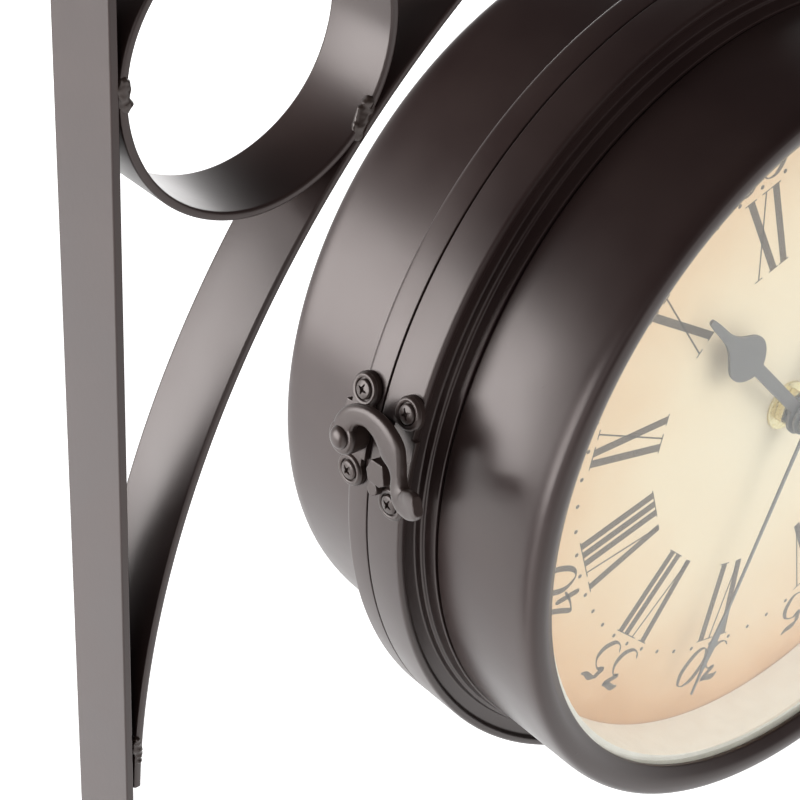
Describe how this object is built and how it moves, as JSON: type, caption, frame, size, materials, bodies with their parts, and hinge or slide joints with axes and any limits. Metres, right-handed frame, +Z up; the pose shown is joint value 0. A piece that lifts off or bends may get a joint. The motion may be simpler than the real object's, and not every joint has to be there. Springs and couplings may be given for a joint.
{
  "type": "double sided station clock",
  "caption": "Round double sided hanging clock on a flat-iron wall bracket, with a hinged front half, a swing-hook latch and turning hands.",
  "frame": {"origin": "middle of the wall bar's back face, on the wall", "axes": "+X out of the wall, +Z up, the hinged dial faces -Y and the fixed dial faces +Y"},
  "size_m": [0.318, 0.0964, 0.32],
  "materials": {
    "case_paint": "satin dark brown powder coat on spun steel",
    "iron_paint": "satin dark brown powder coat on flat iron strap",
    "fitting_paint": "satin dark brown paint over cast and pressed fittings",
    "window_glass": "clear flat glass",
    "reflector_white": "matt off-white painted wall",
    "dial_card": "matt printed dial, cream centre to tan edge",
    "movement_plastic": "moulded black movement case",
    "battery_case": "plain shrink sleeve on a battery",
    "brass": "turned brass nut and washer",
    "hand_paint": "grey satin lacquer on stamped steel"
  },
  "bodies": {
    "bracket": {"wall_bar": "iron_paint", "arm": "iron_paint", "brace": "iron_paint", "ring": "iron_paint", "weld_beads": "iron_paint", "hanger": "iron_paint", "hanger_nut": "iron_paint", "back_flange": "case_paint", "back_bezel": "case_paint", "back_glass": "window_glass", "back_reflector": "reflector_white", "back_dial": "dial_card", "back_movement": "movement_plastic", "back_battery": "battery_case", "back_washer": "brass", "back_nut": "brass", "latch_plate": "fitting_paint", "latch_screws": "fitting_paint", "latch_rivet": "fitting_paint", "hinge_back_leaf": "fitting_paint", "hinge_pin": "fitting_paint", "hinge_back_screws": "fitting_paint"},
    "door": {"front_flange": "case_paint", "front_bezel": "case_paint", "front_glass": "window_glass", "front_reflector": "reflector_white", "front_dial": "dial_card", "front_movement": "movement_plastic", "front_battery": "battery_case", "front_washer": "brass", "front_nut": "brass", "strike_plate": "fitting_paint", "strike_screws": "fitting_paint", "hinge_front_leaf": "fitting_paint", "hinge_front_screws": "fitting_paint"},
    "latch": {"latch_hook": "fitting_paint"},
    "front_hour": {"front_hour_hand": "hand_paint"},
    "front_minute": {"front_minute_hand": "hand_paint"},
    "front_second": {"front_second_hand": "hand_paint"},
    "front_setting": {"front_knob": "movement_plastic"},
    "back_hour": {"back_hour_hand": "hand_paint"},
    "back_minute": {"back_minute_hand": "hand_paint"},
    "back_second": {"back_second_hand": "hand_paint"},
    "back_setting": {"back_knob": "movement_plastic"}
  },
  "joints": [
    {"name": "door_hinge", "type": "hinge", "parent": "bracket", "child": "door", "pos_m": [0.31325, 0, -0.05531], "axis": [0.1599, 0, 0.9871], "range_deg": [0, 100]},
    {"name": "latch_swing", "type": "hinge", "parent": "bracket", "child": "latch", "pos_m": [0.07851, 0.0042, -0.01729], "axis": [-0.9871, 0, 0.1599], "range_deg": [0, 120]},
    {"name": "front_minute_turn", "type": "hinge", "parent": "door", "child": "front_minute", "pos_m": [0.194, -0.0289, -0.036], "axis": [0, 1, 0], "continuous": true},
    {"name": "front_hour_turn", "type": "hinge", "parent": "door", "child": "front_hour", "pos_m": [0.194, -0.0289, -0.036], "axis": [0, 1, 0], "continuous": true},
    {"name": "front_second_turn", "type": "hinge", "parent": "door", "child": "front_second", "pos_m": [0.194, -0.0289, -0.036], "axis": [0, 1, 0], "continuous": true},
    {"name": "front_setting_turn", "type": "hinge", "parent": "door", "child": "front_setting", "pos_m": [0.19639, -0.009, -0.02424], "axis": [0, 1, 0], "continuous": true},
    {"name": "back_minute_turn", "type": "hinge", "parent": "bracket", "child": "back_minute", "pos_m": [0.194, 0.0243, -0.036], "axis": [0, -1, 0], "continuous": true},
    {"name": "back_hour_turn", "type": "hinge", "parent": "bracket", "child": "back_hour", "pos_m": [0.194, 0.0243, -0.036], "axis": [0, -1, 0], "continuous": true},
    {"name": "back_second_turn", "type": "hinge", "parent": "bracket", "child": "back_second", "pos_m": [0.194, 0.0243, -0.036], "axis": [0, -1, 0], "continuous": true},
    {"name": "back_setting_turn", "type": "hinge", "parent": "bracket", "child": "back_setting", "pos_m": [0.19639, 0.005, -0.02424], "axis": [0, -1, 0], "continuous": true}
  ],
  "couplings": [
    {"joint": "front_hour_turn", "follows": "front_minute_turn", "ratio": 0.083333},
    {"joint": "front_setting_turn", "follows": "front_minute_turn", "ratio": -2},
    {"joint": "back_hour_turn", "follows": "back_minute_turn", "ratio": 0.083333},
    {"joint": "back_setting_turn", "follows": "back_minute_turn", "ratio": -2}
  ]
}
